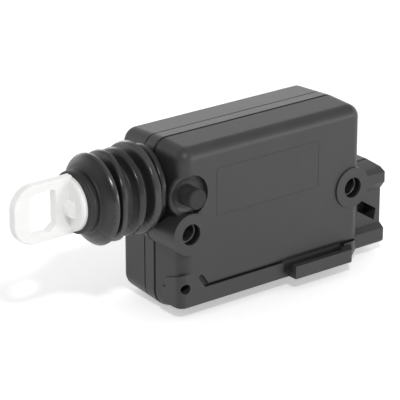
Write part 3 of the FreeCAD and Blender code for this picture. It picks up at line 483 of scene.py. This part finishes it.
dressed("front_shell", "front_housing", HOUSING, "housing", 0.22)
dressed("rear_shell", "rear_cover", REAR, "housing", 0.16)
dressed("pull_eye", "plunger_eye", NYLON, "plunger", 0.3, 3)
dressed("left_bush", "mount_bush_left", BUSH, "housing", 0.12)
dressed("right_bush", "mount_bush_right", BUSH, "housing", 0.12)
dressed("rod_guide", "plunger_guide", GUIDE, "housing", 0.1)


# The rubber bellows: a rounded profile turned about the rod

def rounded_line(points, steps=5):
    """A line of (x, radius, rounding) corners with every corner rounded off."""
    line = []
    for i, (x, r, rounding) in enumerate(points):
        here = Vector((x, r))
        if i in (0, len(points) - 1) or rounding <= 0.0:
            line.append(here)
            continue
        before = Vector(points[i - 1][:2]) - here
        after = Vector(points[i + 1][:2]) - here
        reach = min(rounding, 0.48 * before.length, 0.48 * after.length)
        start = here + before.normalized() * reach
        end = here + after.normalized() * reach
        for k in range(steps + 1):
            t = k / steps
            line.append(start * (1 - t) ** 2 + here * 2 * t * (1 - t) + end * t * t)
    return line


# Corners of the boot's outer and inner skin: (x, radius, rounding)
OUTER = [
    (-26.65, 8.5, 0.0), (-26.4, 8.95, 0.2), (-25.7, 9.05, 0.15), (-25.45, 8.9, 0.1), (-25.2, 9.05, 0.1),
    (-24.5, 9.05, 0.15), (-24.25, 8.45, 0.15), (-23.65, 8.4, 0.15), (-23.4, 9.15, 0.12), (-22.95, 9.25, 0.12),
    (-22.3, 10.3, 0.9), (-20.9, 12.25, 1.0), (-19.95, 12.75, 0.4), (-19.3, 12.65, 0.12),
    (-18.3, 9.75, 0.5), (-17.3, 9.7, 0.5),
    (-15.75, 12.45, 0.4), (-14.55, 12.6, 0.12), (-13.6, 9.7, 0.5), (-12.9, 9.7, 0.5),
    (-11.9, 12.1, 0.4), (-10.3, 12.4, 0.12), (-9.3, 9.7, 0.5), (-8.3, 9.7, 0.5),
    (-7.15, 13.0, 0.4), (-5.55, 13.25, 0.12), (-4.75, 9.75, 0.35), (-3.8, 9.7, 0.35),
    (-3.05, 11.5, 0.35), (-1.75, 11.65, 0.12), (-1.05, 8.75, 0.3), (-0.36, 8.7, 0.0),
]
INNER = [
    (-0.36, 7.34, 0.0), (-3.3, 7.34, 0.2), (-3.7, 8.5, 0.2), (-4.9, 8.5, 0.2), (-5.9, 11.9, 0.3),
    (-6.9, 11.7, 0.3),
    (-8.3, 8.45, 0.4), (-9.5, 8.45, 0.4), (-10.7, 11.1, 0.3), (-11.6, 11.0, 0.3), (-12.8, 8.45, 0.4),
    (-13.8, 8.45, 0.4), (-14.9, 11.3, 0.3), (-15.5, 11.2, 0.3), (-17.2, 8.45, 0.4), (-18.5, 8.5, 0.4),
    (-19.5, 11.3, 0.3), (-20.3, 11.1, 0.5), (-22.6, 8.3, 0.4), (-23.6, 7.6, 0.3), (-24.35, 7.6, 0.0),
    (-24.35, 6.12, 0.0), (-26.65, 6.12, 0.0),
]


def bellows_shape(line):
    """The boot: its profile turned about the rod, its ribs pushed and hanging as rubber does."""
    seed = bpy.data.meshes.new("bellows_profile")
    seed.from_pydata([(x * MM, r * MM, 0.0) for x, r in line], [], [])
    axis = at(0.0, ROD_Y, ROD_Z)
    tree = Pattern("bellows", Sides=160, Points=len(line), Axis_Y=axis.y, Axis_Z=axis.z, Sag=0.0011,
                   Second_rib=-0.0151, Second_push=0.0021, Last_rib=-0.0024, Last_push=0.0010,
                   Seam_line=0.00016)
    sides, points = tree.size("Sides"), tree.size("Points")
    counts = {"Vertices X": sides + 1.0, "Vertices Y": points + 1.0}
    grid = tree.add("GeometryNodeMeshGrid", {}, counts, "Mesh")
    index = tree.add("GeometryNodeInputIndex")
    row = tree.add("Math", {"operation": "MODULO"}, {0: index, 1: points + 1.0})
    angle = (index - row) / (points + 1.0) / sides * (2.0 * math.pi)
    sampled = tree.add("GeometryNodeSampleIndex", {"data_type": "FLOAT_VECTOR", "domain": "POINT"},
                       {"Geometry": tree.size("Seed"), "Value": tree.add("GeometryNodeInputPosition"),
                        "Index": tree.add("Math", {"operation": "MODULO"}, {0: row, 1: points}) + 0.25})
    x = tree.add("SeparateXYZ", {}, {0: sampled}, "X")
    r = tree.add("SeparateXYZ", {}, {0: sampled}, "Y")
    sine = tree.add("Math", {"operation": "SINE"}, {0: angle})
    cosine = tree.add("Math", {"operation": "COSINE"}, {0: angle})
    facing = (-1.0 * sine).above(0.0) ** 1.5
    hanging = (-1.0 * cosine).above(0.0) ** 1.4

    def near(middle, reach, fade):
        return tree.ramp(abs(x - middle), reach + fade, reach)

    push = near(tree.size("Second rib"), 0.0015, 0.0009) * tree.size("Second push")
    push = push + near(tree.size("Last rib"), 0.0009, 0.0008) * tree.size("Last push")
    slack = tree.ramp(x, -0.0236, -0.0200) * tree.ramp(x, -0.0020, -0.0150, 0.1, 1.0)
    seam = abs(sine - cosine)
    groove = tree.ramp(seam, 0.02, 0.0) * tree.ramp(r, 0.0086, 0.0090) * tree.size("Seam line")
    radius = r + hanging * slack * tree.size("Sag") - groove
    place = tree.add("CombineXYZ", {}, {0: x - facing * push - DATUM.x * MM,
                                        1: tree.size("Axis Y") + radius * sine,
                                        2: tree.size("Axis Z") + radius * cosine})
    skin = tree.add("GeometryNodeSetPosition", {}, {"Geometry": grid, "Position": place})
    closed = tree.add("GeometryNodeMergeByDistance", {}, {"Geometry": skin, "Distance": 2e-6})
    shape = bmesh.new()
    shape.from_mesh(tree.run(seed, closed, BOOT))
    return shape


bellows = finished("bellows", bellows_shape(rounded_line(OUTER) + rounded_line(INNER, 2)),
                   BOOT, None, math.radians(60.0))
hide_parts("boot")
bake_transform(bellows)


# The faint frame of the bare panel on the front face

def panel_frame():
    """A low rounded bead that runs round a rounded rectangle on the front face."""
    tree = Pattern("panel_frame", Width=0.0375, Height=0.0142, Corner=0.0008, Bead=0.00017, Proud=0.00010)
    path = tree.add("GeometryNodeCurvePrimitiveQuadrilateral", {"mode": "RECTANGLE"},
                    {"Width": tree.size("Width"), "Height": tree.size("Height")})
    path = tree.add("GeometryNodeFilletCurve", {"mode": "POLY"},
                    {"Curve": path, "Count": 5, "Radius": tree.size("Corner")})
    bead = tree.add("GeometryNodeCurvePrimitiveCircle", {}, {"Resolution": 10, "Radius": tree.size("Bead")})
    ring = tree.add("GeometryNodeCurveToMesh", {}, {"Curve": path, "Profile Curve": bead})
    middle = at(PANEL_X, -FRONT, PANEL_Z)
    shift = tree.add("CombineXYZ", {}, {0: middle.x, 1: middle.y + tree.size("Bead") - tree.size("Proud"),
                                        2: middle.z})
    ring = tree.add("GeometryNodeTransform", {}, {"Geometry": ring, "Translation": shift,
                                                  "Rotation": (math.pi / 2.0, 0.0, 0.0)})
    shape = bmesh.new()
    shape.from_mesh(tree.run(bpy.data.meshes.new("panel_seed"), ring, HOUSING))
    bmesh.ops.remove_doubles(shape, verts=shape.verts, dist=1e-6)
    return shape


finished("panel_frame", panel_frame(), HOUSING, "housing", math.radians(60.0))


# CAD nodes that keep their own shape

KEPT = {
    "housing_seal": SEAL, "front_buffer": SEAL, "rear_buffer": SEAL,
    "rack_slider": NYLON, "wiper": BRASS, "compound_gear": GEAR, "gear_axle": AXLE,
    "motor_can": CAN, "motor_end_cap": CAP, "motor_magnets": FERRITE, "motor_brushes": CARBON,
    "motor_tabs": BRASS, "motor_shaft": AXLE, "motor_pinion": BRASS,
    "armature": CORE, "armature_windings": COPPER, "commutator": COPPER,
    "contact_board": BOARD, "contact_tracks": COPPER, "terminal_block": CAP,
}
KEPT.update({f"terminal_{number}": TIN for number in range(1, 6)})
for node, material in KEPT.items():
    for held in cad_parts[node].material_slots:
        held.material = material


# Studio: white floor and surround, soft lamps, the photograph's camera

CAMERA_SIDE = (-0.62, -0.78, 0.05)
LEVEL = 1.14
CAMERA_DIM = 0.72
BACK_GAIN = 1.7
ZENITH = 0.6
FLOOR_GLOW = 0.42
FLOOR_HALF = 3
FLOOR_GAP = 0.00002
SENSOR = 36.0
FRAME_PIXELS = 400.0
FOCAL_PIXELS = 2342.2
CAMERA_PLACE = Vector((-370.6, -509.6, 247.6)) * MM
CAMERA_LOOK = Vector((0.5715, 0.7356, -0.3638))


def white_stage():
    """A floor that the camera sees as white and that keeps the part's soft shadow."""
    bench = Bench("white_floor")
    seen = bench.add("LightPath", output="Is Camera Ray")
    for ray in ("Is Glossy Ray", "Is Transmission Ray"):
        seen = seen.above(bench.add("LightPath", output=ray))
    bench.set(Base_Color=(0.86, 0.86, 0.86), Roughness=0.9)
    bench.set(Emission_Color=bench.blend(seen, (0.0, 0.0, 0.0), (FLOOR_GLOW, FLOOR_GLOW, FLOOR_GLOW)))
    bench.surface.inputs["Emission Strength"].default_value = 1.0
    return bench.material


def studio_world():
    """Bright surround, dimmer where the camera stands; white where the camera looks."""
    world = bpy.data.worlds.new("studio")
    bpy.context.scene.world = world
    world.use_nodes = True
    bench = Wiring(world.node_tree)
    direction = bench.add("TexCoord", output="Generated")
    towards = bench.add("VectorMath", {"operation": "DOT_PRODUCT"}, {0: direction, 1: CAMERA_SIDE}, "Value")
    height = bench.add("SeparateXYZ", {}, {0: direction}, "Z")
    away = bench.ramp(towards, 0.2, -0.9, 0.0, BACK_GAIN) * bench.ramp(height, 0.50, 0.18)
    dim = bench.ramp(towards, 0.30, 0.85) * bench.ramp(height.above(-1.0 * height), 0.95, 0.50)
    level = LEVEL * (1.0 + away) * (1.0 - CAMERA_DIM * dim) * bench.ramp(height, 0.28, 0.62, 1.0, ZENITH)
    seen = bench.add("LightPath", output="Is Camera Ray")
    level = level * (1.0 - seen) + seen
    glow = bench.tree.nodes.new("ShaderNodeBackground")
    out = bench.tree.nodes.new("ShaderNodeOutputWorld")
    bench.tree.links.new(level.socket, glow.inputs["Strength"])
    bench.tree.links.new(glow.outputs[0], out.inputs["Surface"])


def lamp(name, place, aim, width, height, power):
    """A soft rectangular lamp at a place, turned towards a point."""
    data = bpy.data.lights.new(name, "AREA")
    data.shape = "RECTANGLE"
    data.size = width
    data.size_y = height
    data.energy = power
    light = bpy.data.objects.new(name, data)
    light.location = place
    light.rotation_mode = "QUATERNION"
    light.rotation_quaternion = (Vector(aim) - Vector(place)).to_track_quat("-Z", "Y")
    bpy.context.scene.collection.objects.link(light)


studio_world()
middle = at(25.0, 0.0, 24.0)
lamp("key_left", middle + 0.85 * Vector((-0.36, -0.60, 0.71)), middle, 0.07, 0.07, 2.7)
lamp("front_right", middle + Vector((0.60, -0.80, 0.10)), middle, 0.30, 0.14, 2.3)

floor_shape = bmesh.new()
foot = cad_box[0][2] - FLOOR_GAP
outline = ((-1, -1), (1, -1), (1, 1), (-1, 1))
corners = [floor_shape.verts.new((FLOOR_HALF * x, FLOOR_HALF * y, foot)) for x, y in outline]
floor_shape.faces.new(corners)
floor = finished("floor", floor_shape, white_stage(), None)

camera_data = bpy.data.cameras.new("photo_camera")
camera = bpy.data.objects.new("photo_camera", camera_data)
bpy.context.scene.collection.objects.link(camera)
camera_data.sensor_width = SENSOR
camera_data.lens = SENSOR * FOCAL_PIXELS / FRAME_PIXELS
camera_data.clip_start = 0.05
camera_data.clip_end = 10.0
camera.location = CAMERA_PLACE
camera.rotation_mode = "QUATERNION"
camera.rotation_quaternion = CAMERA_LOOK.to_track_quat("-Z", "Y")
bpy.context.scene.camera = camera
bpy.context.scene.view_settings.view_transform = "Standard"
